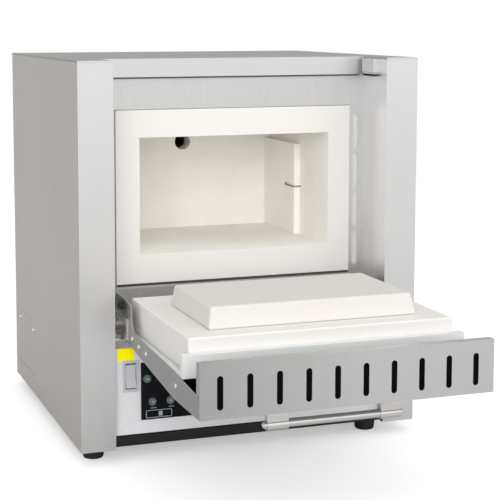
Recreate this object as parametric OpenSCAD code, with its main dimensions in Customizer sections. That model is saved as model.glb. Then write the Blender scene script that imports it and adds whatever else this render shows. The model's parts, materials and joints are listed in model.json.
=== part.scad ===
// Small front-loading kiln with a double-skinned flap door that opens down to a work shelf.
// Frame: +Z up, +X to the right, +Y to the back. The origin is on the bench,
// at the centre of the body's footprint. The door is modelled open.

/* [Body] */
// Width over the side panels
body_w = 385; // [360:5:440]
// Depth from the pillar fronts to the rear panel
body_d = 355; // [345:5:430]
// Height from the underside to the lid, without the feet
body_h = 410; // [400:5:470]
// Sheet thickness of the housing
sheet_t = 1.2; // [1:0.1:1.5]
// Thickness of the hemmed lid
lid_t = 2; // [1.6:0.1:3]
// Width of each front pillar
pillar_w = 37.5; // [34:0.5:40]
// Depth of the recess that the closed door fills
recess_d = 60; // [58:1:66]
// Height of the lid's front fold above the door recess
lintel_h = 20; // [14:1:24]
// Width of the return flanges behind the side panels
return_w = 18; // [14:1:22]

/* [Feet] */
// Foot diameter at the top
foot_d = 24; // [20:1:28]
// Foot height
foot_h = 14; // [10:1:18]
// Left feet, in from the body's side
foot_left_inset = 20; // [18:1:40]
// Right feet, in from the body's side
foot_right_inset = 46; // [18:1:60]
// Feet, in from the front and back
foot_end_inset = 30; // [24:1:40]

/* [Chamber] */
// Clear width between the side boards
chamber_w = 222; // [200:2:230]
// Clear height
chamber_h = 128; // [115:1:135]
// Depth from the collar face to the rear board
chamber_d = 180; // [165:5:190]
// Height of the chamber floor above the body's underside
chamber_z = 196.5; // [190:0.5:205]
// Thickness of the hot-face boards
board_t = 24; // [20:1:26]
// Gap between boards
board_gap = 0.3; // [0.2:0.1:0.6]
// Thickness of the backing insulation
backing_t = 32; // [28:1:34]
// Radius of the exhaust hole
exhaust_r = 10; // [8:0.5:12]
// Exhaust hole, left of centre
exhaust_off = 5; // [0:1:30]
// Exhaust hole, below the chamber roof
exhaust_drop = 22; // [16:1:40]
// Radius of the thermocouple sheath
probe_r = 3; // [2:0.25:4]

/* [Collar] */
// Width of the collar's side boards
collar_side = 26.5; // [22:0.5:28]
// Height of the top collar board
collar_up = 30; // [24:1:34]
// Height of the bottom collar board
collar_low = 31.5; // [24:0.5:34]
// Thickness of the collar boards
collar_t = 40; // [30:1:45]
// How far the collar stands in front of the face plate
collar_proud = 2; // [1:0.5:3]
// Lap joint at the ends of the top board
lap_w = 19; // [12:1:21]
// Thickness of the top board over the lap
lap_t = 6; // [4:1:10]

/* [Heating] */
// Thickness of the heating plates
plate_t = 8; // [6:0.5:10]
// Gap between the heating plates and the chamber roof
plate_head = 20; // [8:1:30]
// Depth of the heating plates from the rear board
plate_d = 98; // [80:2:120]
// Radius of the heating wire
wire_r = 1.2; // [0.8:0.1:1.5]
// Radius of the connecting pins through the rear wall
lead_r = 3; // [2:0.5:4]

/* [Door] */
// Height of the hinge axis above the body's underside
hinge_z = 130; // [128:1:136]
// Hinge axis behind the pillar fronts
hinge_y = 26; // [24:1:28]
// Gap between the door's cheeks and the pillars
door_side_gap = 9; // [8:0.5:12]
// How far the closed door stands in front of the pillars
door_proud = 1.8; // [0:0.2:4]
// Gap above the closed door
door_top_gap = 1.5; // [1:0.5:4]
// Gap between the door's insulation and the collar
seal_gap = 0.5; // [0.4:0.1:1.5]
// Height of the slotted strip at the door's free end
strip_h = 51; // [46:1:52]
// Number of slots in the strip
strip_slots = 10; // [6:1:12]
// End slots' centres, in from the door's sides
slot_edge = 19.1; // [12:0.1:24]
// Length of the strip's slots
slot_l = 31; // [24:1:34]
// Width of the strip's slots
slot_w = 5.8; // [4:0.2:7]
// Thickness of the door's insulation block
block_t = 34.3; // [30:0.1:36]
// Insulation block, in from each side of the door
block_side = 10; // [7:0.5:14]
// Height that the plug stands above the block
plug_t = 21.3; // [18:0.1:26]
// Gap at each side of the plug
plug_side_gap = 2.6; // [2:0.2:6]
// Slope of the plug's flanks
plug_bevel = 3.5; // [3:0.5:8]
// Depth of the inner tray's rim
tray_rim = 22; // [16:0.5:24]
// Height of the low rims along the inner tray's sides
side_rim = 5; // [3:0.5:9]
// Radius of the hinge pins
pin_r = 4; // [3:0.5:5]
// Running clearance of the hinge pins
pin_fit = 0.05; // [0.02:0.01:0.08]

/* [Handle] */
// Length over the handle's brackets
handle_l = 136; // [110:2:200]
// Radius of the handle bar
handle_r = 4; // [3:0.5:6]
// Distance from the door skin to the bar's centre
handle_off = 22.5; // [20:0.5:32]
// Width of the handle's brackets
bracket_w = 21; // [14:1:26]
// Handle, in from the door's free end
handle_in = 41; // [34:1:60]

/* [Controls] */
// Face of the control fascia behind the pillar fronts
fascia_y = 9; // [8:0.5:12]
// Lower edge of the fascia
fascia_low = 12.5; // [10:0.5:16]
// Height of the fascia
fascia_h = 94; // [88:1:95]
// Width of the display window
window_w = 184; // [160:2:220]
// Height of the display window
window_h = 62; // [50:1:66]
// Display window, in from the left pillar
window_in = 30; // [29:1:45]
// Radius of the keys
key_r = 4.5; // [4:0.5:6]
// Travel of the keys
key_travel = 0.8; // [0.5:0.1:1.5]
// Clearance around keys and rocker
key_gap = 0.4; // [0.3:0.1:0.8]
// Width of the mains rocker
rocker_w = 14; // [12:1:16]
// Height of the mains rocker
rocker_h = 30; // [24:1:32]
// Mains rocker's centre, in from the left pillar
rocker_in = 19; // [18:0.5:20]

/* [Hidden] */
$fn = 48;
eps = 0.01;

// Body
half_w = body_w / 2;
panel_h = body_h - lid_t;
inner_x = half_w - pillar_w;
door_w = 2 * (inner_x - door_side_gap);
block_w = door_w - 2 * block_side;
plate_h = chamber_h - plate_head;
window_left = inner_x - window_in;
lintel_y = recess_d - 3;
lintel_z = panel_h - lintel_h + lid_t;
rear_y = body_d - sheet_t;
fit = 0.3;
pan_h = fascia_low - 1.5;
foot_xs = [-half_w + foot_left_inset, half_w - foot_right_inset];
foot_ys = [foot_end_inset, body_d - foot_end_inset];

// Insulation
collar_y = recess_d - collar_proud;
chamber_top = chamber_z + chamber_h;
chamber_back = collar_y + chamber_d;
collar_hw = chamber_w / 2 + collar_side;
collar_z0 = chamber_z - collar_low;
collar_z1 = chamber_top + collar_up;
board_y0 = collar_y + collar_t + board_gap;
hot_hw = chamber_w / 2 + board_t;
hot_z0 = chamber_z - board_t;
hot_z1 = chamber_top + board_t;
hot_y1 = chamber_back + board_t;
face_t = sheet_t;
face_back = recess_d + face_t;
back_y0 = face_back + board_gap;
back_hw = hot_hw + board_gap + backing_t;
shelf_z = fascia_low + fascia_h - 1.5;
shell_t = 1;
shell_z0 = shelf_z + sheet_t + board_gap;
back_z0 = shell_z0 + shell_t + board_gap;
back_z1 = hot_z1 + board_gap + backing_t;
back_y1 = hot_y1 + board_gap + backing_t;
shell_hw = back_hw + board_gap + shell_t;
shell_z1 = back_z1 + board_gap + shell_t;
shell_y1 = back_y1 + board_gap + shell_t;
exhaust_z = chamber_top - exhaust_drop;
exhaust_tube_r = exhaust_r + 3;
spigot_r = 20;
spigot_l = 25;
probe_x = -chamber_w / 2 + 26;
probe_z = chamber_z + 64;
lead_x = chamber_w / 2 - plate_t / 2;
lead_zs = [chamber_z + 18, chamber_z + plate_h - 14];
plate_y0 = chamber_back - plate_d;

// Door, measured from the hinge axis: y runs back, z runs up, and the door is open
skin_z = -(hinge_y + door_proud);
face_z = collar_y - seal_gap - hinge_y;
end_y = -(body_h - door_top_gap - hinge_z);
cheek_in = door_w / 2 - sheet_t;
tray_hw = cheek_in - fit;
tray_z = face_z - block_t - sheet_t;
tray_y0 = end_y + 53.5;
tray_y1 = -20;
block_y0 = tray_y0 + 9;
block_y1 = tray_y1 - sheet_t - 1;
knee_y = end_y + 77.5;
tail_y = -16;
tail_z = -9;
swing_r = sqrt(pow(chamber_top - hinge_z, 2) + pow(collar_y - hinge_y, 2)) - 0.8;
plug_hw = chamber_w / 2 - plug_side_gap;
plug_far = sqrt(pow(swing_r, 2) - pow(face_z, 2)) - 0.8;
plug_tip = sqrt(pow(swing_r, 2) - pow(face_z + plug_t, 2)) - 0.8;
plug_near = chamber_z - hinge_z + 3;
lever_x = door_w / 2;
lever_t = 2.5;
lever_top = recess_d - sheet_t - hinge_y;
bush_r = pin_r + 2;
skin_y = end_y + sheet_t;
pan_slope = (tail_z - skin_z) / (tail_y - knee_y);
stop_r = 3;
stop_y = 4.5;
stop_gap = 0.3;
stop_z = hinge_z + tail_z + (stop_y - hinge_y - tail_y) * pan_slope
  - (stop_r + stop_gap) * sqrt(1 + pow(pan_slope, 2));

// Controls
fascia_back = fascia_y + sheet_t;
window_x = -window_left + window_w / 2;
window_z = 27.5 + window_h / 2;
window_y = fascia_y - 1.5;
rocker_x = -inner_x + rocker_in;
rocker_z = 76;
key_edge = 2.2;
keys = [[-window_left + key_edge + key_r, 72], [-window_left + 8 + key_r, 46.5], [-window_left + 28 + key_r, 46.5]];
box_y0 = fascia_back + 1.6 + key_travel;
box_y1 = box_y0 + 48;

module in_body() { translate([0, -body_d / 2, foot_h]) children(); }
module in_door() { in_body() translate([0, hinge_y, hinge_z]) children(); }
module both_sides() { children(); mirror([1, 0, 0]) children(); }
// Block between two corners
module slab(a, b) { translate(a) cube(b - a); }
// Cylinders that start at a point and run along one axis
module rod_x(p, r, l) { translate(p) rotate([0, 90, 0]) cylinder(r = r, h = l); }
module rod_y(p, r, l) { translate(p) rotate([-90, 0, 0]) cylinder(r = r, h = l); }
module rod_z(p, r, l) { translate(p) cylinder(r = r, h = l); }
// Slot with round ends through a plate whose normal is Y
module slot_y(x, z, y, w, l, t) {
  slab([x - w / 2, y, z - l / 2 + w / 2], [x + w / 2, y + t, z + l / 2 - w / 2]);
  for (s = [-1, 1]) rod_y([x, y, z + s * (l / 2 - w / 2)], w / 2, t);
}
// Pan-head screw whose head stands on a plate and faces -Y
module screw_front(p, r = 3, h = 1.6) { translate(p) rotate([90, 0, 0]) cylinder(r1 = r, r2 = r * 0.75, h = h); }
module screw_back(p, r = 3, h = 1.6) { translate(p) rotate([-90, 0, 0]) cylinder(r1 = r, r2 = r * 0.75, h = h); }

// ---------- Housing ----------
module base_pan() {
  x = half_w - sheet_t - fit;
  y1 = rear_y - sheet_t - 2 * fit;
  color([0.46, 0.44, 0.42]) in_body() {
    slab([-inner_x + fit, fascia_back - fit, 0], [inner_x - fit, recess_d + 1, sheet_t]);
    slab([-x, recess_d + fit, 0], [x, y1, sheet_t]);
    slab([-inner_x + fit, fascia_back - fit, 0], [inner_x - fit, fascia_back - fit + sheet_t, pan_h]);
    for (s = [-1, 1]) slab([min(s * x, s * (x - sheet_t)), recess_d + fit, 0], [max(s * x, s * (x - sheet_t)), y1, 20]);
  }
}

module side_shape() {
  slab([half_w - sheet_t, 0, 0], [half_w, body_d, panel_h]);
  slab([inner_x, 0, 0], [half_w, sheet_t, panel_h]);
  slab([inner_x, 0, 0], [inner_x + sheet_t, recess_d, panel_h]);
  slab([inner_x, recess_d - sheet_t, 0], [inner_x + 12, recess_d, panel_h]);
  slab([half_w - return_w, rear_y, 0], [half_w, body_d, panel_h]);
  slab([inner_x, 0, 0], [half_w, recess_d, sheet_t]);
}

module pin_holes() {
  rod_x([inner_x - 1, hinge_y, hinge_z], 3, 5);
  rod_x([inner_x - 1, stop_y, stop_z], 2, 5);
}
module right_side_panel() {
  color([0.66, 0.65, 0.64]) in_body() difference() {
    side_shape();
    pin_holes();
  }
}

cover_y0 = body_d - 115;
cover_y1 = body_d - 22;
cover_z0 = 23;
cover_z1 = 88;
module left_side_panel() {
  color([0.66, 0.65, 0.64]) in_body() {
    difference() {
      mirror([1, 0, 0]) side_shape();
      mirror([1, 0, 0]) pin_holes();
      slab([-half_w - 1, cover_y0, cover_z0], [-half_w + 2, cover_y1, cover_z1]);
    }
    for (y = [cover_y0, cover_y1]) {
      d = y == cover_y0 ? 1 : -1;
      slab([-half_w + sheet_t, min(y - d * 6, y + d * 10), cover_z1 - 20],
           [-half_w + 2 * sheet_t, max(y - d * 6, y + d * 10), cover_z1 - 4]);
    }
  }
}

module access_cover() {
  color([0.64, 0.63, 0.62]) in_body() difference() {
    slab([-half_w, cover_y0 + fit, cover_z0 + fit], [-half_w + sheet_t, cover_y1 - fit, cover_z1 - fit]);
    for (y = [cover_y0 + 7, cover_y1 - 7]) rod_x([-half_w - 1, y, cover_z1 - 10], 1.7, 4);
  }
}

module top_cover() {
  color([0.64, 0.64, 0.65]) in_body() {
    difference() {
      slab([-half_w, 0, panel_h], [half_w, body_d, body_h]);
      slab([-half_w + 6, 6, panel_h - 1], [-inner_x - 6, body_d - 6, body_h - sheet_t]);
      slab([inner_x + 6, 6, panel_h - 1], [half_w - 6, body_d - 6, body_h - sheet_t]);
      slab([-inner_x - 7, recess_d + 6, panel_h - 1], [inner_x + 7, body_d - 6, body_h - sheet_t]);
      slab([-inner_x, -1, panel_h - 1], [inner_x, lintel_y, body_h + 1]);
    }
    slab([-inner_x + fit, lintel_y, lintel_z], [inner_x - fit, lintel_y + sheet_t, panel_h + eps]);
  }
}

inlet_x = -120;
inlet_z = 38;
fuse_xs = [-84, -62];
module rear_panel() {
  x = half_w - sheet_t - fit;
  y = rear_y - sheet_t - fit;
  color([0.62, 0.62, 0.62]) in_body() difference() {
    slab([-x, y, sheet_t + fit], [x, y + sheet_t, panel_h - fit]);
    for (i = [-7:7], z = [46, 376]) if (z > 300 || i > -2)
      slot_y(i * 18, z, y - 1, 5, 34, 4);
    rod_y([-exhaust_off, y - 1, exhaust_z], exhaust_tube_r + fit, 4);
    slab([inlet_x - 14.2, y - 1, inlet_z - 11.2], [inlet_x + 14.2, y + 4, inlet_z + 11.2]);
    for (fx = fuse_xs) rod_y([fx, y - 1, inlet_z], 6.2, 4);
  }
}

slot_rows = 4;
slot_pitch = 44.8;
module face_plate() {
  w = inner_x + 10;
  color([0.74, 0.74, 0.73]) in_body() difference() {
    slab([-w, recess_d, shelf_z + sheet_t + fit], [w, face_back, panel_h - 2]);
    slab([-collar_hw - 1, recess_d - 1, collar_z0 - 5], [collar_hw + 1, face_back + 1, collar_z1 + 1]);
    for (s = [-1, 1], i = [0:slot_rows - 1])
      slot_y(s * (inner_x - 9.5), collar_z0 + 26 + i * slot_pitch, recess_d - 1, 7, 40, 4);
  }
}

module bay_shelf() {
  color([0.60, 0.60, 0.60]) in_body() {
    slab([-inner_x + fit, fascia_back + fit, shelf_z], [inner_x - fit, recess_d + 1, shelf_z + sheet_t]);
    slab([-half_w + 2 * sheet_t, recess_d + fit, shelf_z], [half_w - 2 * sheet_t, shell_y1 + 6, shelf_z + sheet_t]);
  }
}

module rear_holes(y0, l) {
  rod_y([-exhaust_off, y0, exhaust_z], exhaust_tube_r + fit, l);
  rod_y([probe_x, y0, probe_z], probe_r + fit, l);
  for (s = [-1, 1], z = lead_zs) rod_y([s * lead_x, y0, z], lead_r + fit, l);
}

module inner_casing() {
  y0 = back_y0;
  color([0.55, 0.55, 0.56]) in_body() difference() {
    slab([-shell_hw, y0, shell_z0], [shell_hw, shell_y1, shell_z1]);
    slab([-shell_hw + shell_t, y0 - 1, shell_z0 + shell_t], [shell_hw - shell_t, shell_y1 - shell_t, shell_z1 - shell_t]);
    rear_holes(shell_y1 - 3, 6);
  }
}

// ---------- Insulation ----------
// Room that the backing leaves for the collar boards
module collar_pocket() {
  slab([-collar_hw - board_gap, back_y0 - 1, collar_z0 - board_gap],
       [collar_hw + board_gap, board_y0, collar_z1 + board_gap]);
}
module backing_floor() {
  color([0.87, 0.85, 0.80]) in_body() difference() {
    slab([-back_hw, back_y0, back_z0], [back_hw, back_y1, hot_z0 - board_gap]);
    collar_pocket();
  }
}
module backing_roof() {
  color([0.87, 0.85, 0.80]) in_body() difference() {
    slab([-back_hw, back_y0, hot_z1 + board_gap], [back_hw, back_y1, back_z1]);
    collar_pocket();
  }
}
module backing_sides() {
  color([0.87, 0.85, 0.80]) in_body() both_sides() difference() {
    slab([hot_hw + board_gap, back_y0, hot_z0], [back_hw, back_y1, hot_z1]);
    collar_pocket();
  }
}
module backing_rear() {
  color([0.87, 0.85, 0.80]) in_body() difference() {
    slab([-hot_hw, hot_y1 + board_gap, hot_z0], [hot_hw, back_y1, hot_z1]);
    rear_holes(hot_y1 - 1, backing_t + 4);
  }
}
module chamber_floor() {
  color([0.90, 0.88, 0.84]) in_body()
    slab([-hot_hw, board_y0, hot_z0], [hot_hw, hot_y1, chamber_z]);
}
module chamber_roof() {
  color([0.90, 0.88, 0.84]) in_body()
    slab([-hot_hw, board_y0, chamber_top], [hot_hw, hot_y1, hot_z1]);
}
module chamber_sides() {
  color([0.90, 0.88, 0.84]) in_body() both_sides() difference() {
    slab([chamber_w / 2, board_y0, chamber_z], [hot_hw, hot_y1, chamber_top]);
    rod_x([chamber_w / 2 - 1, plate_y0 - 1.6, staple_z], 0.9, 6);
  }
}
module chamber_rear() {
  color([0.90, 0.88, 0.84]) in_body() difference() {
    slab([-chamber_w / 2, chamber_back, chamber_z], [chamber_w / 2, hot_y1, chamber_top]);
    rod_y([-exhaust_off, chamber_back - 1, exhaust_z], exhaust_r, board_t + 2);
    rod_y([probe_x, chamber_back - 1, probe_z], probe_r + fit, board_t + 2);
    for (s = [-1, 1], z = lead_zs) rod_y([s * lead_x, chamber_back - 1, z], lead_r + fit, board_t + 2);
  }
}

module collar_top() {
  color([0.91, 0.89, 0.87]) in_body() {
    slab([-collar_hw + lap_w, collar_y, chamber_top], [collar_hw - lap_w, collar_y + collar_t, collar_z1]);
    slab([-collar_hw, collar_y, collar_z1 - lap_t], [collar_hw, collar_y + collar_t, collar_z1]);
  }
}
module collar_bottom() {
  color([0.91, 0.89, 0.87]) in_body()
    slab([-collar_hw, collar_y, collar_z0], [collar_hw, collar_y + collar_t, chamber_z]);
}
module collar_sides() {
  color([0.91, 0.89, 0.87]) in_body() both_sides() {
    slab([chamber_w / 2, collar_y, chamber_z], [collar_hw, collar_y + collar_t, chamber_top]);
    slab([collar_hw - lap_w, collar_y, chamber_top - eps],
         [collar_hw, collar_y + collar_t, collar_z1 - lap_t]);
  }
}

// ---------- Heating ----------
wire_rows = 6;
wire_pitch = (plate_h - 24) / (wire_rows - 1);
wire_x = chamber_w / 2 - wire_r - 0.8;
wire_y0 = plate_y0 + 9;
wire_y1 = chamber_back - 9;
staple_z = chamber_z + plate_h * 0.53;
function wire_z(i) = chamber_z + 12 + i * wire_pitch;

module wire_path(r) {
  for (i = [0:wire_rows - 1]) rod_y([wire_x, wire_y0, wire_z(i)], r, wire_y1 - wire_y0);
  for (i = [0:wire_rows - 2]) rod_z([wire_x, i % 2 == 0 ? wire_y0 : wire_y1, wire_z(i)], r, wire_pitch);
  for (i = [0:wire_rows - 1], y = [wire_y0, wire_y1]) translate([wire_x, y, wire_z(i)]) sphere(r = r);
}
module heating_plates() {
  g = wire_r + 0.3;
  x0 = chamber_w / 2 - plate_t;
  color([0.93, 0.91, 0.88]) in_body() both_sides() difference() {
    slab([x0, plate_y0, chamber_z + 0.2], [chamber_w / 2 - 0.2, chamber_back - 0.2, chamber_z + plate_h]);
    for (i = [0:wire_rows - 1])
      slab([wire_x - g, wire_y0 - g, wire_z(i) - g], [chamber_w / 2, wire_y1 + g, wire_z(i) + g]);
    for (y = [wire_y0, wire_y1])
      slab([wire_x - g, y - g, wire_z(0) - g], [chamber_w / 2, y + g, wire_z(wire_rows - 1) + g]);
    rod_x([x0 - 1, plate_y0 + 24, staple_z + 1.5], 0.9, 4.4);
    for (z = lead_zs) rod_y([lead_x, chamber_back - 7, z], lead_r + fit, 8);
  }
}
module heating_wires() {
  color([0.52, 0.45, 0.38]) in_body() both_sides() wire_path(wire_r);
}
module plate_staples() {
  x = chamber_w / 2 - plate_t - 1;
  y0 = plate_y0 - 1.6;
  y1 = plate_y0 + 24;
  color([0.35, 0.33, 0.30]) in_body() both_sides() {
    rod_y([x, y0, staple_z], 0.8, y1 - y0);
    rod_x([x, y0, staple_z], 0.8, plate_t + 5);
    rod_x([x, y1, staple_z + 1.5], 0.8, 4);
    rod_z([x, y1, staple_z], 0.8, 1.5);
    translate([x, y0, staple_z]) sphere(r = 0.8);
    for (z = [0, 1.5]) translate([x, y1, staple_z + z]) sphere(r = 0.8);
  }
}
module element_leads() {
  color([0.60, 0.57, 0.52]) in_body() both_sides() for (z = lead_zs) {
    rod_y([lead_x, chamber_back - 6.5, z], lead_r, shell_y1 + 16 - chamber_back + 6.5);
    rod_y([lead_x, shell_y1 + 6, z], lead_r + 2.5, 6);
  }
}

// ---------- Exhaust and probe ----------
module exhaust_tube() {
  y0 = hot_y1 + board_gap;
  color([0.80, 0.76, 0.68]) in_body() difference() {
    rod_y([-exhaust_off, y0, exhaust_z], exhaust_tube_r, rear_y + sheet_t - y0);
    rod_y([-exhaust_off, y0 - 1, exhaust_z], exhaust_r, body_d);
  }
}
// The stack's spigot is the outlet that an exhaust hose clamps to
module exhaust_stack() {
  y0 = rear_y - fit;
  color([0.70, 0.70, 0.70]) in_body() difference() {
    union() {
      slab([-exhaust_off - 26, y0, exhaust_z - 26], [-exhaust_off + 26, y0 + sheet_t, exhaust_z + 26]);
      rod_y([-exhaust_off, y0, exhaust_z], spigot_r, spigot_l + sheet_t);
    }
    rod_y([-exhaust_off, y0 - 1, exhaust_z], spigot_r - sheet_t, spigot_l + 4);
    for (sx = [-1, 1], sz = [-1, 1])
      rod_y([-exhaust_off + sx * 21, y0 - 1, exhaust_z + sz * 21], 1.9, 4);
  }
}
module thermocouple() {
  color([0.75, 0.73, 0.70]) in_body() {
    rod_y([probe_x, chamber_back - 24, probe_z], probe_r, shell_y1 + 8 - chamber_back + 24);
    translate([probe_x, chamber_back - 24, probe_z]) sphere(r = probe_r);
    rod_y([probe_x, shell_y1 + 8, probe_z], 13, 16);
  }
}

// ---------- Feet ----------
module feet() {
  color([0.08, 0.08, 0.08]) translate([0, -body_d / 2, 0]) for (x = foot_xs, y = foot_ys) translate([x, y, 0])
    rotate_extrude() polygon([[0, 0], [foot_d / 2 - 2, 0], [foot_d / 2 - 1, 1.5], [foot_d / 2, foot_h - 1.5],
      [foot_d / 2, foot_h], [0, foot_h]]);
}

// ---------- Controls ----------
module control_fascia() {
  z1 = fascia_low + fascia_h;
  x = inner_x - fit - 0.2;
  color([0.83, 0.84, 0.87]) in_body() difference() {
    slab([-x, fascia_y, fascia_low], [x, fascia_back, z1]);
    slab([window_x - window_w / 2 + 1.2, fascia_y - 1, window_z - window_h / 2 + 1.2],
         [window_x + window_w / 2 - 1.2, fascia_back + 1, window_z + window_h / 2 - 1.2]);
    slab([rocker_x - rocker_w / 2 - 1, fascia_y - 1, rocker_z - rocker_h / 2 - 1],
         [rocker_x + rocker_w / 2 + 1, fascia_back + 1, rocker_z + rocker_h / 2 + 1]);
  }
}
module display_window() {
  color([0.05, 0.05, 0.06]) in_body() difference() {
    union() {
      slab([window_x - window_w / 2, window_y, window_z - window_h / 2],
           [window_x + window_w / 2, fascia_y, window_z + window_h / 2]);
      slab([window_x - window_w / 2 + 1.5, window_y, window_z - window_h / 2 + 1.5],
           [window_x + window_w / 2 - 1.5, box_y0, window_z + window_h / 2 - 1.5]);
    }
    for (k = keys) rod_y([k[0], window_y - 1, k[1]], key_r + key_gap, 8);
    slab([window_x - 30, window_y - 1, window_z - 22], [window_x + 60, window_y + 0.6, window_z + 22]);
    slab([-window_left + 7, window_y - 1, window_z - window_h / 2 + 3.5],
         [-window_left + 36, window_y + 0.5, window_z - window_h / 2 + 12.5]);
  }
}
module controller_box() {
  color([0.12, 0.12, 0.13]) in_body()
    slab([window_x - window_w / 2 + 6, box_y0, window_z - window_h / 2 + 6],
         [window_x + window_w / 2 - 6, box_y1, window_z + window_h / 2 - 6]);
}
module key(i) {
  k = keys[i];
  color([0.72, 0.76, 0.77]) in_body() {
    translate([k[0], window_y - 1.6, k[1]]) rotate([-90, 0, 0])
      rotate_extrude() polygon([[0, 0], [key_r - 1, 0], [key_r, 1], [key_r, 4], [0, 4]]);
  }
}
module program_key() { key(0); }
module down_key() { key(1); }
module up_key() { key(2); }

module rocker_frame() {
  w = rocker_w / 2;
  h = rocker_h / 2;
  color([0.62, 0.62, 0.66]) in_body() difference() {
    union() {
      slab([rocker_x - w - 2, fascia_y - 1, rocker_z - h - 2], [rocker_x + w + 2, fascia_y, rocker_z + h + 2]);
      slab([rocker_x - w - 0.7, fascia_y - 1, rocker_z - h - 0.7], [rocker_x + w + 0.7, fascia_back + 18, rocker_z + h + 0.7]);
    }
    slab([rocker_x - w + 1, fascia_y - 2, rocker_z - h + 1], [rocker_x + w - 1, fascia_back + 14, rocker_z + h - 1]);
  }
}
// The rocker turns about an axis along X, inside its frame
rocker_pivot_y = 3;
module mains_rocker() {
  w = rocker_w / 2 - 1 - key_gap;
  h = rocker_h / 2 - 1 - key_gap - 1.2;
  color([0.70, 0.71, 0.75]) in_body() translate([rocker_x, fascia_y + rocker_pivot_y, rocker_z])
    difference() {
      rotate([0, 90, 0]) translate([0, 0, -w]) linear_extrude(2 * w)
        polygon([[-h, -3.4], [h * 0.1, -2], [h, -6.4], [h, -1], [3.5, 6], [-3.5, 6], [-h, -1]]);
      rod_x([-w + 1.6, 0, 0], 1.6, 2 * w - 3.2);
    }
}
module marker_plate() {
  z1 = fascia_low + fascia_h - 0.4;
  color([1, 0.94, 0]) in_body()
    slab([-inner_x + 5.2, fascia_y - 0.4, z1 - 13], [-inner_x + 23, fascia_y, z1]);
}

// ---------- Electrics behind the fascia ----------
module heat_sink() {
  color([0.68, 0.69, 0.70]) in_body() {
    slab([84, 110, sheet_t + 18], [148, 200, sheet_t + 23]);
    for (i = [0:7]) slab([84 + i * 8.7, 110, sheet_t + 0.2], [86.5 + i * 8.7, 200, sheet_t + 18 + eps]);
  }
}
module solid_state_relay() {
  color([0.16, 0.16, 0.17]) in_body() {
    slab([94, 126, sheet_t + 23.2], [138, 184, sheet_t + 46]);
    for (x = [104, 128], y = [132, 178]) rod_z([x, y, sheet_t + 45], 3.5, 3);
  }
}
module terminal_block() {
  color([0.85, 0.83, 0.76]) in_body() for (i = [0:5]) difference() {
    slab([-100 + i * 10.4, 280, sheet_t + 0.2], [-90 + i * 10.4, 312, sheet_t + 36]);
    rod_z([-95 + i * 10.4, 288, sheet_t + 26], 2.6, 12);
    rod_z([-95 + i * 10.4, 304, sheet_t + 26], 2.6, 12);
  }
}
module contactor() {
  color([0.22, 0.22, 0.23]) in_body() {
    slab([-20, 130, sheet_t + 0.2], [25, 190, sheet_t + 62]);
    slab([-14, 142, sheet_t + 61], [19, 178, sheet_t + 74]);
  }
}
module mains_inlet() {
  y = rear_y - sheet_t - fit;
  color([0.07, 0.07, 0.07]) in_body() difference() {
    union() {
      slab([inlet_x - 14, y - 22, inlet_z - 11], [inlet_x + 14, y + 2, inlet_z + 11]);
      slab([inlet_x - 16, y + sheet_t, inlet_z - 13], [inlet_x + 16, body_d + 2, inlet_z + 13]);
    }
    slab([inlet_x - 11.5, y - 15, inlet_z - 8.5], [inlet_x + 11.5, body_d + 3, inlet_z + 8.5]);
  }
  color([0.78, 0.70, 0.45]) in_body() for (x = [-7, 0, 7])
    slab([inlet_x + x - 1, y - 15.1, inlet_z - 3], [inlet_x + x + 1, y - 3, inlet_z + 3]);
}
module fuse_holders() {
  y = rear_y - sheet_t - fit;
  color([0.10, 0.10, 0.10]) in_body() for (fx = fuse_xs) {
    rod_y([fx, y - 28, inlet_z], 5.9, 28 + sheet_t + 0.4);
    rod_y([fx, y + sheet_t, inlet_z], 8, body_d + 4 - y - sheet_t);
  }
}

// ---------- Hinge, stops and sensor ----------
module hinge_pins() {
  color([0.75, 0.74, 0.72]) in_body() both_sides() {
    rod_x([cheek_in, hinge_y, hinge_z], pin_r, inner_x - cheek_in);
    rod_x([inner_x - 3.4, hinge_y, hinge_z], pin_r + 3.5, 3.4);
    rod_x([inner_x - eps, hinge_y, hinge_z], 2.9, 8);
    rod_x([inner_x + sheet_t, hinge_y, hinge_z], 6.5, 4);
  }
}
module stop_pins() {
  color([0.30, 0.30, 0.30]) in_body() both_sides() {
    rod_x([cheek_in - 3, stop_y, stop_z], stop_r, inner_x - cheek_in + 3);
    rod_x([inner_x - eps, stop_y, stop_z], 1.9, 4);
    rod_x([inner_x + sheet_t, stop_y, stop_z], 3, 3);
  }
}
module door_sensor() {
  z = lintel_z;
  color([0.80, 0.80, 0.80]) in_body() {
    slab([inner_x - 6, 22, z + 3], [inner_x, 51, panel_h - 0.4]);
    slab([inner_x - 5, 24, z - 1], [inner_x - 0.2, 49, z + 3]);
  }
}

module panel_screws() {
  y = rear_y - fit;
  color([0.82, 0.82, 0.80]) in_body() {
    for (x = [-165, -55, 55, 165], z = [12, panel_h - 10]) screw_back([x, y, z]);
    for (sx = [-1, 1], sz = [-1, 1]) screw_back([-exhaust_off + sx * 21, y + sheet_t, exhaust_z + sz * 21]);
    for (py = [cover_y0 + 7, cover_y1 - 7])
      translate([-half_w, py, cover_z1 - 10]) rotate([0, -90, 0]) cylinder(r1 = 3, r2 = 2.2, h = 1.4);
  }
}

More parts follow.
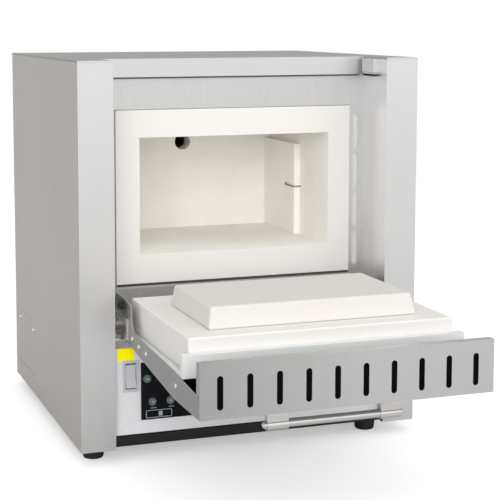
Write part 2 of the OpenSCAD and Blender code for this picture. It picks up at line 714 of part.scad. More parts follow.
// ---------- Door ----------
module cheek_outline() {
  difference() {
    union() {
      polygon([[skin_y, skin_z], [knee_y, skin_z], [tail_y, tail_z], [0, -12], [12, 0], [12, 20], [4, lever_top],
        [-29, lever_top], [-55, lever_top - 2.8], [-59.5, 10], [-66, 4], [-124, 1.3], [knee_y, -2.2], [skin_y, -7.8]]);
      circle(r = 12);
    }
    circle(r = bush_r);
  }
}
module door_pan() {
  w = door_w / 2;
  color([0.55, 0.54, 0.53]) in_door() {
    rotate([90, 0, 90]) for (x = [-w, w - sheet_t]) translate([0, 0, x]) linear_extrude(sheet_t) cheek_outline();
    rotate([90, 0, 90]) translate([0, 0, -w + eps]) linear_extrude(2 * w - 2 * eps)
      polygon([[skin_y, skin_z], [knee_y, skin_z], [tail_y, tail_z], [tail_y + 2, tail_z + 3],
        [tail_y + 0.8, tail_z + 3.6], [tail_y - 0.8, tail_z + sheet_t], [knee_y, skin_z + sheet_t], [skin_y, skin_z + sheet_t]]);
  }
}
module vent_strip() {
  w = door_w / 2;
  pitch = (door_w - 2 * slot_edge) / (strip_slots - 1);
  color([0.72, 0.71, 0.69]) in_door() {
    difference() {
      slab([-w, end_y, skin_z], [w, end_y + sheet_t, skin_z + strip_h]);
      for (i = [0:strip_slots - 1])
        slot_y((i - (strip_slots - 1) / 2) * pitch, skin_z + 8 + slot_l / 2, end_y - 1, slot_w, slot_l, 4);
    }
    slab([-w, end_y, skin_z + strip_h - sheet_t], [w, end_y + 9, skin_z + strip_h]);
    for (s = [-1, 1]) slab([s > 0 ? w - sheet_t : -w, end_y, skin_z + 21], [s > 0 ? w : -w + sheet_t, end_y + 9, skin_z + strip_h]);
  }
}
module inner_tray() {
  z1 = tray_z + tray_rim;
  color([0.84, 0.85, 0.85]) in_door() {
    difference() {
      slab([-tray_hw, tray_y0, tray_z], [tray_hw, tray_y1, z1]);
      slab([-tray_hw + sheet_t, tray_y0 + sheet_t, tray_z + sheet_t], [tray_hw - sheet_t, tray_y1 - sheet_t, z1 - sheet_t]);
      for (s = [-1, 1]) slab([s > 0 ? block_w / 2 + 0.3 : -tray_hw - 1, block_y0 - 0.3, tray_z + side_rim], [s > 0 ? tray_hw + 1 : -block_w / 2 - 0.3, tray_y1 - sheet_t, z1 + 1]);
      slab([-block_w / 2 - 0.3, block_y0 - 0.3, tray_z + sheet_t], [block_w / 2 + 0.3, tray_y1 - sheet_t, z1 + 1]);
    }
    for (x = [-105, 105]) rod_z([x, end_y + 66, skin_z + sheet_t], 5, tray_z - skin_z - sheet_t + eps);
  }
}
module door_block() {
  color([0.92, 0.91, 0.89]) in_door()
    slab([-block_w / 2, block_y0, tray_z + sheet_t], [block_w / 2, block_y1, face_z]);
}
// The plug's flanks slope so that its far edge clears the collar as the door swings
module door_plug() {
  b = plug_bevel;
  z1 = face_z + plug_t;
  color([0.88, 0.87, 0.83]) in_door() polyhedron(
    points = [[-plug_hw, -plug_far, face_z], [plug_hw, -plug_far, face_z],
      [plug_hw, -plug_near, face_z], [-plug_hw, -plug_near, face_z],
      [-plug_hw + b, -plug_tip, z1], [plug_hw - b, -plug_tip, z1],
      [plug_hw - b, -plug_near - b, z1], [-plug_hw + b, -plug_near - b, z1]],
    faces = [[0, 1, 2, 3], [4, 7, 6, 5], [0, 4, 5, 1], [1, 5, 6, 2], [2, 6, 7, 3], [3, 7, 4, 0]]);
}
module lever_plates() {
  color([0.80, 0.80, 0.79]) in_door() both_sides() difference() {
    slab([lever_x, -50, -7.5], [lever_x + lever_t, 10, 15]);
    rod_x([lever_x - 1, 0, 0], bush_r, lever_t + 2);
  }
}
module hinge_bushes() {
  x1 = lever_x + lever_t + 1;
  color([0.72, 0.60, 0.38]) in_door() both_sides() difference() {
    union() {
      rod_x([cheek_in + 0.2, 0, 0], bush_r, x1 - cheek_in - 0.2);
      rod_x([lever_x + lever_t, 0, 0], bush_r + 1.5, 1);
    }
    rod_x([cheek_in - 1, 0, 0], pin_r + pin_fit, 20);
  }
}
module lever_bumpers() {
  color([0.07, 0.07, 0.07]) in_door() both_sides() translate([lever_x, -25, 25]) rotate([0, 90, 0])
    rotate_extrude() polygon([[0, 0], [4.5, 0], [4.5, 4], [3.6, 5], [0, 5]]);
}
handle_y = end_y + handle_in;
handle_z = skin_z - handle_off;
module handle_bar() {
  color([0.78, 0.77, 0.76]) in_door() {
    rod_x([-handle_l / 2, handle_y, handle_z], handle_r, handle_l);
    for (s = [-1, 1]) translate([s * handle_l / 2, handle_y, handle_z]) scale([1, 1, 1]) sphere(r = handle_r);
  }
}
module handle_brackets() {
  color([0.74, 0.73, 0.72]) in_door() for (s = [-1, 1]) difference() {
    x0 = s > 0 ? handle_l / 2 - bracket_w : -handle_l / 2;
    union() {
      slab([x0, handle_y - 4.5, handle_z], [x0 + bracket_w, handle_y + 4.5, skin_z]);
      rod_x([x0, handle_y, handle_z], handle_r + 1.6, bracket_w);
    }
    rod_x([x0 - 1, handle_y, handle_z], handle_r, bracket_w + 2);
  }
}
module door_rivets() {
  spots = [[knee_y - 8, -14], [-86, -6], [-62, -3], [-112, -7]];
  color([0.88, 0.88, 0.87]) in_door() both_sides() for (p = spots) translate([lever_x, p[0], p[1]])
    rotate([0, 90, 0]) cylinder(r1 = 3, r2 = 2, h = 1.5);
}

base_pan();
left_side_panel();
right_side_panel();
top_cover();
rear_panel();
face_plate();
bay_shelf();
inner_casing();
backing_floor();
backing_roof();
backing_sides();
backing_rear();
chamber_floor();
chamber_roof();
chamber_sides();
chamber_rear();
collar_top();
collar_bottom();
collar_sides();
heating_plates();
heating_wires();
plate_staples();
element_leads();
exhaust_tube();
exhaust_stack();
thermocouple();
feet();
access_cover();
control_fascia();
controller_box();
display_window();
rocker_frame();
marker_plate();
solid_state_relay();
heat_sink();
terminal_block();
contactor();
mains_inlet();
fuse_holders();
hinge_pins();
stop_pins();
door_sensor();
panel_screws();
program_key();
down_key();
up_key();
mains_rocker();
door_pan();
vent_strip();
inner_tray();
door_block();
door_plug();
lever_plates();
hinge_bushes();
lever_bumpers();
handle_bar();
handle_brackets();
door_rivets();
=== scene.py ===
"""Finishes and staging of a small front-loading kiln around its CAD frame."""

import json
import math

import bmesh
import bpy
from bpy.props import FloatProperty, FloatVectorProperty, IntProperty, PointerProperty
from mathutils import Matrix, Vector

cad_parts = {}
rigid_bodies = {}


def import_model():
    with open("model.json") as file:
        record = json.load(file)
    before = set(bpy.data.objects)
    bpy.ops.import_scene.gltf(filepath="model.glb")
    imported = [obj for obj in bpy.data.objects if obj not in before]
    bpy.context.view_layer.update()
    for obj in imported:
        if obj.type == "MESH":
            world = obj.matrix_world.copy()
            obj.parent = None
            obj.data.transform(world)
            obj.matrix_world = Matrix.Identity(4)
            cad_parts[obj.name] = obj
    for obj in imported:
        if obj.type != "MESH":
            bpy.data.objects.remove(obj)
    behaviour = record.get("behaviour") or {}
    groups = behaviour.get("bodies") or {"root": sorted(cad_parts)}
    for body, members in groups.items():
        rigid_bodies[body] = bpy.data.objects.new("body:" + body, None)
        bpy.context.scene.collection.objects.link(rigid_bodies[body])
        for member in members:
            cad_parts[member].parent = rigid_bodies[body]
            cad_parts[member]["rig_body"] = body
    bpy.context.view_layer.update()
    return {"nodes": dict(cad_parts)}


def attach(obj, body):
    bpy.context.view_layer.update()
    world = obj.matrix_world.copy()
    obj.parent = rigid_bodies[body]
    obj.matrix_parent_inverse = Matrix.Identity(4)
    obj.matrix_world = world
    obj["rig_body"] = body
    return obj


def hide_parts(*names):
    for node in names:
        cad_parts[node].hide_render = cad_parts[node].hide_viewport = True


bl_info = {
    "name": "Bench kiln",
    "version": (1, 0, 0),
    "blender": (4, 5, 0),
    "location": "3D View > Sidebar > Kiln",
    "description": "Finishes a front-loading bench kiln and sets up a plain studio",
    "category": "Object",
}

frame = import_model()
MM = 0.001


# ---------------------------------------------------------------- settings
def colour_prop(name, description, default):
    return FloatVectorProperty(
        name=name, description=description, default=default,
        size=3, min=0.0, max=1.0, subtype="COLOR",
    )


def length_prop(name, description, default, low=0.0, high=0.1):
    return FloatProperty(
        name=name, description=description, default=default,
        min=low, max=high, unit="LENGTH", precision=5,
    )


def factor_prop(name, description, default, low=0.0, high=1.0):
    return FloatProperty(
        name=name, description=description, default=default,
        min=low, max=high, subtype="FACTOR",
    )


def power_prop(name, description, default):
    return FloatProperty(
        name=name, description=description, default=default,
        min=0.0, max=2000.0, unit="POWER",
    )


class KilnFinish(bpy.types.PropertyGroup):
    steel: colour_prop("Sheet steel", "Colour of the textured housing sheet", (0.72, 0.695, 0.675))
    # painted light where faces look to the front: the front steel is brighter than the housing
    # sheet; it is also the base of the door, strip and inner sheets
    pillar: colour_prop("Front steel", "Colour of the smoother front sheet", (0.82, 0.82, 0.825))
    board: colour_prop("Fibre board", "Colour of the hot-face boards", (0.95, 0.93, 0.89))
    collar: colour_prop("Collar board", "Colour of the collar boards", (0.775, 0.755, 0.735))
    fascia: colour_prop("Fascia paint", "Colour of the control fascia", (0.80, 0.81, 0.835))
    marker: colour_prop("Marker yellow", "Colour of the small fascia plate", (1.0, 0.90, 0.0))
    steel_rough: factor_prop("Steel roughness", "Roughness of the housing sheet", 0.32, 0.05)
    wear: factor_prop("Wear", "How far edges have rubbed bright", 0.5)


class KilnSizes(bpy.types.PropertyGroup):
    sheet_edge: length_prop("Sheet edge", "Rounding of the side panels and hinge levers", 0.0005)
    lid_edge: length_prop("Lid edge", "Rounding of the lid's hemmed edge", 0.00045)
    thin_edge: length_prop("Thin edge", "Rounding of thin covers and small fittings", 0.0003)
    pan_edge: length_prop("Door pan edge", "Rounding of the door pan and its strip", 0.00025)
    moulded_edge: length_prop("Moulded edge", "Rounding of fascia, rocker and bumpers", 0.0004)
    foot_edge: length_prop("Foot edge", "Rounding of the rubber feet", 0.0006)
    bush_edge: length_prop("Bush edge", "Rounding of the hinge bushes", 0.0002)
    marker_edge: length_prop("Marker edge", "Rounding of the small yellow plate", 0.0001)
    bracket_edge: length_prop("Bracket edge", "Rounding of the handle brackets", 0.0008)
    collar_edge: length_prop("Collar edge", "Rounding of the collar boards", 0.00024)
    chamber_edge: length_prop("Chamber edge", "Rounding of the chamber boards", 0.00048)
    plate_edge: length_prop("Plate edge", "Rounding of the heating plates", 0.00036)
    block_edge: length_prop("Block edge", "Rounding of the door's block", 0.00192)
    plug_edge: length_prop("Plug edge", "Rounding of the door's plug", 0.0024)
    edge_steps: IntProperty(
        name="Edge steps", description="Segments in each rounded edge", default=2, min=1, max=4,
    )
    board_steps: IntProperty(
        name="Board steps", description="Segments in the block's and plug's rounded edges",
        default=3, min=1, max=6,
    )


class KilnStage(bpy.types.PropertyGroup):
    lens: FloatProperty(
        name="Lens", description="Focal length in millimetres", default=97.88,
        min=20.0, max=300.0, unit="CAMERA",
    )
    floor_size: length_prop("Floor", "Half width of the floor", 4.0, 0.5, 20.0)
    key_power: power_prop("Key light", "Power of the soft light from the left", 27.0)
    side_power: power_prop("Side light", "Power of the weak light from the right", 7.0)
    front_light: factor_prop("Front wall", "Light from in front of the kiln", 1.12, 0.0, 3.0)
    rear_light: factor_prop("Rear wall", "Light from behind the kiln", 0.56, 0.0, 3.0)


def finishes():
    return bpy.context.scene.kiln_finish


def sizes():
    return bpy.context.scene.kiln_sizes


def stage_settings():
    return bpy.context.scene.kiln_stage


# ---------------------------------------------------------------- shader groups
class Tree:
    """A thin helper for placing and joining nodes."""

    def __init__(self, tree):
        self.tree = tree

    def node(self, kind, **values):
        made = self.tree.nodes.new(kind)
        for key, value in values.items():
            setattr(made, key, value)
        return made

    def join(self, out, into):
        self.tree.links.new(out, into)

    def feed(self, socket, value):
        if hasattr(value, "is_output"):
            self.join(value, socket)
        else:
            socket.default_value = value

    def math(self, operation, a, b=None, c=None, clamp=False):
        made = self.node("ShaderNodeMath", operation=operation, use_clamp=clamp)
        for socket, value in zip(made.inputs, (a, b, c)):
            if value is not None:
                self.feed(socket, value)
        return made.outputs[0]

    def noise(self, vector, scale, detail=3.0, roughness=0.55):
        made = self.node("ShaderNodeTexNoise")
        self.feed(made.inputs["Vector"], vector)
        self.feed(made.inputs["Scale"], scale)
        made.inputs["Detail"].default_value = detail
        made.inputs["Roughness"].default_value = roughness
        return made.outputs["Fac"]

    def stretch(self, vector, amounts):
        made = self.node("ShaderNodeVectorMath", operation="MULTIPLY")
        self.feed(made.inputs[0], vector)
        self.feed(made.inputs[1], amounts)
        return made.outputs[0]

    def split(self, vector):
        made = self.node("ShaderNodeSeparateXYZ")
        self.join(vector, made.inputs[0])
        return made.outputs

    def normal(self):
        return self.node("ShaderNodeNewGeometry").outputs["Normal"]

    def remap(self, value, low, high, to_low=0.0, to_high=1.0):
        made = self.node("ShaderNodeMapRange")
        for socket, given in zip(made.inputs, (value, low, high, to_low, to_high)):
            self.feed(socket, given)
        return made.outputs[0]

    def mix(self, factor, a, b, blend="MIX"):
        made = self.node("ShaderNodeMix", data_type="RGBA", blend_type=blend)
        self.feed(made.inputs[0], factor)
        for socket, value in ((made.inputs[6], a), (made.inputs[7], b)):
            opaque = isinstance(value, tuple) and len(value) == 3
            self.feed(socket, (*value, 1.0) if opaque else value)
        return made.outputs[2]


GROUPS = {}


def make_group(name, inputs, outputs, build):
    """A shared group: inputs are names with defaults, outputs are names of plain values."""
    if name in GROUPS:
        return GROUPS[name]
    tree = bpy.data.node_groups.new(name, "ShaderNodeTree")
    for label, default in inputs.items():
        kind = "NodeSocketFloat" if isinstance(default, float) else "NodeSocketVector"
        socket = tree.interface.new_socket(name=label, in_out="INPUT", socket_type=kind)
        if default is not None:
            socket.default_value = default
    for label in outputs:
        tree.interface.new_socket(name=label, in_out="OUTPUT", socket_type="NodeSocketFloat")
    entry = tree.nodes.new("NodeGroupInput")
    leave = tree.nodes.new("NodeGroupOutput")
    build(Tree(tree), entry.outputs, leave.inputs)
    GROUPS[name] = tree
    return tree


def brushed(axis, along, across=900.0):
    """Noise scales of marks that run along one axis."""
    return tuple(along if axis == letter else across for letter in "XYZ")


def grain_group():
    """Long fine marks that rolling and brushing leave in sheet metal."""

    def build(t, given, out):
        lines = t.noise(t.stretch(given["Vector"], given["Stretch"]), 1.0, 3.0, 0.65)
        spots = t.noise(given["Vector"], given["Texture scale"], 2.0, 0.5)
        both = t.math("ADD", t.math("MULTIPLY", lines, 0.65), t.math("MULTIPLY", spots, 0.35))
        t.join(both, out["Fac"])

    given = {"Vector": None, "Stretch": brushed("Z", 24.0), "Texture scale": 700.0}
    return make_group("sheet_grain", given, ("Fac",), build)


def smudge_group():
    """Broad uneven sheen from handling and wiping."""

    def build(t, given, out):
        broad = t.noise(given["Vector"], given["Scale"], 4.0, 0.6)
        wiped = t.noise(t.stretch(given["Vector"], (22.0, 22.0, 5.0)), 1.0, 3.0, 0.6)
        mixed = t.math("ADD", t.math("MULTIPLY", broad, 0.6), t.math("MULTIPLY", wiped, 0.4))
        t.join(t.remap(mixed, 0.35, 0.68), out["Fac"])

    return make_group("smudges", {"Vector": None, "Scale": 9.0}, ("Fac",), build)


def edge_group():
    """A mask of rubbed outer edges, broken up by noise."""

    def build(t, given, out):
        rounded = t.node("ShaderNodeBevel", samples=4)
        t.join(given["Radius"], rounded.inputs["Radius"])
        dot = t.node("ShaderNodeVectorMath", operation="DOT_PRODUCT")
        t.join(rounded.outputs[0], dot.inputs[0])
        t.join(t.normal(), dot.inputs[1])
        edge = t.remap(dot.outputs["Value"], 0.985, 0.80)
        broken = t.remap(t.noise(given["Vector"], 160.0, 4.0, 0.7), 0.35, 0.6)
        rubbed = t.math("MULTIPLY", edge, broken)
        t.join(t.math("MULTIPLY", rubbed, given["Amount"], clamp=True), out["Mask"])

    given = {"Vector": None, "Radius": 0.0008, "Amount": 0.5}
    return make_group("edge_wear", given, ("Mask",), build)


def dust_group():
    """Fine dust that settles on what faces up."""

    def build(t, given, out):
        up = t.remap(t.split(t.normal())["Z"], 0.55, 0.98)
        patch = t.remap(t.noise(given["Vector"], 38.0, 5.0, 0.65), 0.38, 0.72)
        film = t.math("MULTIPLY", up, patch)
        t.join(t.math("MULTIPLY", film, given["Amount"], clamp=True), out["Mask"])

    return make_group("settled_dust", {"Vector": None, "Amount": 0.3}, ("Mask",), build)


def facing_group():
    """Masks of what looks to the front, to the left, and along an opening's walls."""

    def build(t, given, out):
        sides = t.split(t.normal())
        for axis, label in (("Y", "Front"), ("X", "Left")):
            towards = t.math("MULTIPLY", sides[axis], -1.0)
            t.join(t.remap(towards, given["Start"], given["Full"]), out[label])
        level = t.math("ABSOLUTE", sides["Y"])
        t.join(t.remap(level, given["Full"], given["Start"]), out["Reveal"])

    given = {"Start": 0.5, "Full": 0.9}
    return make_group("facing_sides", given, ("Front", "Left", "Reveal"), build)


def fibre_group():
    """Felted fibre board: a fine matted surface, small pits and warm stains."""

    def build(t, given, out):
        matted = t.noise(given["Vector"], given["Fibre scale"], 5.0, 0.7)
        strands = t.noise(t.stretch(given["Vector"], (260.0, 900.0, 600.0)), 1.0, 2.0, 0.6)
        pits = t.node("ShaderNodeTexVoronoi", feature="DISTANCE_TO_EDGE")
        t.join(given["Vector"], pits.inputs["Vector"])
        pits.inputs["Scale"].default_value = 140.0
        holes = t.remap(pits.outputs["Distance"], 0.0, 0.08)
        height = t.math("ADD", t.math("MULTIPLY", matted, 0.6), t.math("MULTIPLY", strands, 0.3))
        t.join(t.math("ADD", height, t.math("MULTIPLY", holes, 0.1)), out["Height"])
        stain = t.noise(given["Vector"], given["Stain scale"], 4.0, 0.62)
        t.join(t.remap(stain, 0.46, 0.74), out["Stain"])
        t.join(t.remap(matted, 0.4, 0.62), out["Mottle"])

    given = {"Vector": None, "Fibre scale": 520.0, "Stain scale": 16.0}
    return make_group("felted_fibre", given, ("Height", "Stain", "Mottle"), build)


# ---------------------------------------------------------------- materials
MATERIALS = {}
DUST_TONE = (0.62, 0.60, 0.57)
# painted light: brighter colour for the inner side of the right pillar
PAINTED_LIGHT_INNER_WALL = (0.93, 0.93, 0.94)
COLLAR_STAIN = (0.72, 0.68, 0.60)
# painted light: the yellow plate glows faintly though it is no lamp
MARKER_PAINTED_GLOW = (1.0, 0.85, 0.0, 1.0)
MARKER_PAINTED_GLOW_STRENGTH = 0.16


def place(t, group, vector=None, **values):
    """A shared group in a material, with this material's own values."""
    made = t.node("ShaderNodeGroup", node_tree=group)
    if vector is not None:
        t.join(vector, made.inputs["Vector"])
    for label, value in values.items():
        made.inputs[label.replace("_", " ")].default_value = value
    return made.outputs


def new_material(name):
    material = bpy.data.materials.new(name)
    material.use_nodes = True
    t = Tree(material.node_tree)
    shader = material.node_tree.nodes["Principled BSDF"]
    vector = t.node("ShaderNodeTexCoord").outputs["Object"]
    MATERIALS[name] = material
    return material, t, shader, vector


def relief(t, shader, height, distance, strength=1.0):
    bump = t.node("ShaderNodeBump")
    bump.inputs["Strength"].default_value = strength
    bump.inputs["Distance"].default_value = distance
    t.join(height, bump.inputs["Height"])
    t.join(bump.outputs[0], shader.inputs["Normal"])


def scaled(colour, factor):
    return tuple(min(1.0, part * factor) for part in colour)


def sheet_metal(
    name, colour, rough, stretch=brushed("Z", 24.0), texture=700.0, wear=0.5, dust=0.0,
    depth=0.00002, front=None, inward=None, shade=None,
):
    """Brushed sheet; the front and inward colours are painted light on what faces there, and shade
    is painted shade that darkens one end.
    """
    material, t, shader, vector = new_material(name)
    shader.inputs["Metallic"].default_value = 1.0
    grain = place(t, grain_group(), vector, Stretch=stretch, Texture_scale=texture)["Fac"]
    smudge = place(t, smudge_group(), vector)["Fac"]
    edge = place(t, edge_group(), vector, Amount=wear)["Mask"]
    dull, clear, wiped, rubbed = (scaled(colour, k) for k in (0.93, 1.05, 0.82, 1.3))
    tone = t.mix(t.remap(grain, 0.3, 0.7), dull, clear)
    tone = t.mix(t.math("MULTIPLY", smudge, 0.12), tone, wiped)
    tone = t.mix(t.math("MULTIPLY", edge, 0.6), tone, rubbed)
    # painted light: faces that look to the front, or to the left, take a brighter colour
    if front or inward:
        facing = place(t, facing_group())
        for label, colour_there in (("Front", front), ("Left", inward)):
            if colour_there:
                tone = t.mix(facing[label], tone, colour_there)
    # painted shade: the colour darkens towards black at one end
    if shade:
        begins, ends, kept = shade
        dark = t.remap(t.split(vector)["X"], begins, ends, 1.0 - kept, 0.0)
        tone = t.mix(dark, tone, (0.0, 0.0, 0.0))
    if dust:
        tone = t.mix(place(t, dust_group(), vector, Amount=dust)["Mask"], tone, DUST_TONE)
    t.join(tone, shader.inputs["Base Color"])
    sheen = t.remap(grain, 0.3, 0.7, rough - 0.04, rough + 0.05)
    sheen = t.math("ADD", sheen, t.math("MULTIPLY", smudge, 0.07))
    sheen = t.math("SUBTRACT", sheen, t.math("MULTIPLY", edge, 0.08))
    t.join(sheen, shader.inputs["Roughness"])
    relief(t, shader, grain, depth)
    return material


def fibre_board(name, colour, stain, mottle=0.5, stain_amount=0.35, inner=None):
    """Felted board; inner is the tone of an opening's walls."""
    material, t, shader, vector = new_material(name)
    shader.inputs["Specular IOR Level"].default_value = 0.15
    fibre = place(t, fibre_group(), vector)
    tone = t.mix(t.math("MULTIPLY", fibre["Mottle"], mottle), colour, scaled(colour, 0.95))
    tone = t.mix(t.math("MULTIPLY", fibre["Stain"], stain_amount), tone, stain)
    edge = place(t, edge_group(), vector, Radius=0.0015, Amount=0.45)["Mask"]
    tone = t.mix(edge, tone, scaled(colour, 0.90))
    if inner:
        tone = t.mix(place(t, facing_group())["Reveal"], tone, inner)
    t.join(tone, shader.inputs["Base Color"])
    t.join(t.remap(fibre["Height"], 0.2, 0.8, 0.86, 0.98), shader.inputs["Roughness"])
    relief(t, shader, fibre["Height"], 0.00022, 0.8)
    return material


def paint(
    name, colour, rough=0.42, peel=420.0, depth=0.00003, wear=0.4,
    under=(0.45, 0.44, 0.43), shine=0.5,
):
    """Paint, moulding or glaze with a fine skin, showing under at rubbed edges."""
    material, t, shader, vector = new_material(name)
    shader.inputs["Specular IOR Level"].default_value = shine
    skin = t.noise(vector, peel, 2.0, 0.5)
    smudge = place(t, smudge_group(), vector, Scale=14.0)["Fac"]
    edge = place(t, edge_group(), vector, Amount=wear)["Mask"]
    tone = t.mix(t.remap(skin, 0.35, 0.65), scaled(colour, 0.975), scaled(colour, 1.01))
    tone = t.mix(t.math("MULTIPLY", smudge, 0.07), tone, scaled(colour, 0.8))
    tone = t.mix(t.math("MULTIPLY", edge, 0.35), tone, under)
    t.join(tone, shader.inputs["Base Color"])
    sheen = t.remap(skin, 0.3, 0.7, rough - 0.03, rough + 0.04)
    t.join(t.math("ADD", sheen, t.math("MULTIPLY", smudge, 0.06)), shader.inputs["Roughness"])
    relief(t, shader, skin, depth)
    return material


def window_gloss(name):
    material, t, shader, vector = new_material(name)
    shader.inputs["Specular IOR Level"].default_value = 0.04
    smudge = place(t, smudge_group(), vector, Scale=26.0)["Fac"]
    t.join(t.mix(smudge, (0.008, 0.008, 0.010), (0.016, 0.016, 0.018)), shader.inputs["Base Color"])
    t.join(t.remap(smudge, 0.0, 1.0, 0.10, 0.22), shader.inputs["Roughness"])
    relief(t, shader, t.noise(vector, 90.0, 1.0), 0.00001)
    return material


def tinted_wire(name):
    material, t, shader, vector = new_material(name)
    shader.inputs["Metallic"].default_value = 0.8
    heat = t.remap(t.noise(vector, 60.0, 3.0), 0.35, 0.65)
    t.join(t.mix(heat, (0.20, 0.17, 0.14), (0.46, 0.40, 0.34)), shader.inputs["Base Color"])
    t.join(t.remap(heat, 0.0, 1.0, 0.5, 0.7), shader.inputs["Roughness"])
    relief(t, shader, t.noise(vector, 900.0, 3.0), 0.00003)
    return material


def make_metals(f):
    """The sheets and the plated and polished metal."""
    wear, rough = f.wear, f.steel_rough
    steel, pillar = tuple(f.steel), tuple(f.pillar)
    # painted shade: the strip darkens towards its left end
    strip = node_box("vent_strip")[0].x
    strip_painted_shade = (strip - 4.0 * MM, strip + 166.0 * MM, 0.74)
    # painted light: the housing sheet's faces that look to the front take the brighter front colour
    sheet_metal("housing_sheet", steel, rough, wear=wear, dust=0.10, front=pillar)
    # painted light: the right sheet's fronts and inner side take brighter colours
    sheet_metal(
        "right_sheet_painted_light", steel, rough, wear=wear, dust=0.10,
        front=pillar, inward=PAINTED_LIGHT_INNER_WALL,
    )
    # painted shade and light: a darker copy of the housing sheet for the lid's top, with a brighter
    # front fold; the dust is real
    sheet_metal(
        "lid_sheet_painted_light_and_shade", scaled(steel, 0.70), rough + 0.02, brushed("X", 30.0),
        wear=wear, dust=0.16, front=scaled(pillar, 0.95),
    )
    # painted shade: the door pan is the front steel at about half its brightness
    sheet_metal("door_sheet_painted_shade", scaled(pillar, 0.545), rough, brushed("Y", 36.0), wear=wear)
    # painted shade: the strip is a darker copy of the front steel
    sheet_metal(
        "strip_sheet_painted_shade", scaled(pillar, 0.86), rough, brushed("Y", 36.0),
        wear=wear, shade=strip_painted_shade,
    )
    sheet_metal("inner_sheet", scaled(pillar, 0.9), 0.38, brushed("Z", 40.0), wear=wear * 0.6)
    # painted shade: the base pan's steel is near black, as it sits in shade under the door
    sheet_metal("base_sheet_painted_shade", (0.058, 0.054, 0.051), 0.45, brushed("X", 24.0), wear=wear)
    sheet_metal(
        "bright_steel", (0.80, 0.79, 0.77), 0.17, brushed("X", 60.0, 500.0),
        wear=wear, depth=0.00001,
    )
    zinc_grain = brushed("X", 300.0, 300.0)
    sheet_metal("zinc_plate", (0.62, 0.62, 0.60), 0.34, zinc_grain, 300.0, wear=wear)
    sheet_metal("alloy", (0.70, 0.71, 0.72), 0.34, brushed("Y", 40.0, 600.0), wear=wear)


def make_paints(f):
    """Paints, mouldings, rubber and glazed ceramics."""
    wear = f.wear
    paint("tray_paint", (0.76, 0.78, 0.77), 0.40, wear=wear)
    paint("fascia_paint", tuple(f.fascia), 0.38, wear=wear)
    # painted shadow: the near-black of the sheets behind the strip's slots and in its fold
    paint(
        "strip_shadow_black", (0.003, 0.003, 0.003), 0.9, 500.0, 0.00006,
        under=(0.01, 0.01, 0.01), shine=0.05,
    )
    paint(
        "display_bar", (0.022, 0.020, 0.020), 0.3, 900.0,
        under=(0.03, 0.03, 0.03), shine=0.2,
    )
    paint("mark_grey", (0.34, 0.38, 0.40), 0.5, 700.0, wear=0.0)
    # painted light: a faint glow keeps the yellow plate bright
    marker = paint("marker_paint", tuple(f.marker), 0.6, wear=wear * 0.3, shine=0.02)
    painted_glow = marker.node_tree.nodes["Principled BSDF"].inputs
    painted_glow["Emission Color"].default_value = MARKER_PAINTED_GLOW
    painted_glow["Emission Strength"].default_value = MARKER_PAINTED_GLOW_STRENGTH
    paint("black_moulding", (0.018, 0.018, 0.020), 0.52, 900.0, under=(0.08, 0.08, 0.08))
    paint(
        "black_rubber", (0.020, 0.020, 0.020), 0.78, 700.0, 0.00006,
        under=(0.07, 0.07, 0.07),
    )
    paint("rocker_moulding", (0.58, 0.59, 0.63), 0.40, 900.0, under=(0.5, 0.5, 0.52))
    paint("key_moulding", (0.11, 0.16, 0.17), 0.5, 900.0, under=(0.3, 0.4, 0.42), shine=0.3)
    paint("sensor_paint", (0.60, 0.60, 0.59), 0.5, 900.0)
    # painted shadow: the grey of the dark strips in the gaps under the lid's fold and the collar
    paint("painted_shadow_grey", (0.07, 0.068, 0.065), 0.8, 600.0, shine=0.1)
    paint("light_moulding", (0.78, 0.76, 0.68), 0.5, 900.0)
    paint(
        "sooty_ceramic", (0.05, 0.045, 0.04), 0.85, 400.0, 0.00008,
        under=(0.12, 0.11, 0.10), shine=0.1,
    )
    paint("tube_ceramic", (0.74, 0.70, 0.60), 0.7, 500.0, under=(0.6, 0.56, 0.48))


def make_boards(f):
    """The fibre boards of the chamber, the collar and the door."""
    board, collar = tuple(f.board), tuple(f.collar)
    fibre_board("hot_board", board, (0.84, 0.79, 0.70), stain_amount=0.40)
    fibre_board(
        "collar_board", collar, COLLAR_STAIN, stain_amount=0.22, inner=scaled(board, 0.98),
    )
    fibre_board("block_board", scaled(collar, 1.03), COLLAR_STAIN, stain_amount=0.2)
    fibre_board("backing_board", (0.68, 0.67, 0.64), (0.60, 0.57, 0.52))
    fibre_board("plug_board", (0.70, 0.68, 0.655), (0.72, 0.66, 0.56), stain_amount=0.3)
    fibre_board("heating_plate", scaled(board, 1.02), (0.74, 0.68, 0.58), stain_amount=0.35)


def make_materials():
    f = finishes()
    make_metals(f)
    make_paints(f)
    make_boards(f)
    window_gloss("window_gloss")
    tinted_wire("tinted_wire")


# ---------------------------------------------------------------- pieces
# What counts as one point, a flat face, an edge to round and an edge to keep sharp.
MERGE_DISTANCE = 2e-6
FLAT_ANGLE = math.radians(1.0)
SHARP_ANGLE = math.radians(30.0)
SMOOTH_ANGLE = math.radians(50.0)
FLAT_FACE_WEIGHT = 90


def corners(points):
    """Lowest and highest corner around some points."""
    return tuple(
        Vector(tuple(pick(p[i] for p in points) for i in range(3))) for pick in (min, max)
    )


def node_body(node):
    return frame["nodes"][node]["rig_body"]


def node_box(node):
    """Lowest and highest corner of a CAD node's mesh."""
    return corners([vert.co for vert in frame["nodes"][node].data.vertices])


def clean_copy(node):
    """A CAD node's mesh with its loose triangles merged and its flat faces joined."""
    bm = bmesh.new()
    bm.from_mesh(frame["nodes"][node].data)
    bmesh.ops.remove_doubles(bm, verts=bm.verts, dist=MERGE_DISTANCE)
    bmesh.ops.dissolve_limit(
        bm, angle_limit=FLAT_ANGLE, verts=bm.verts, edges=bm.edges, delimit=set(),
    )
    return bm


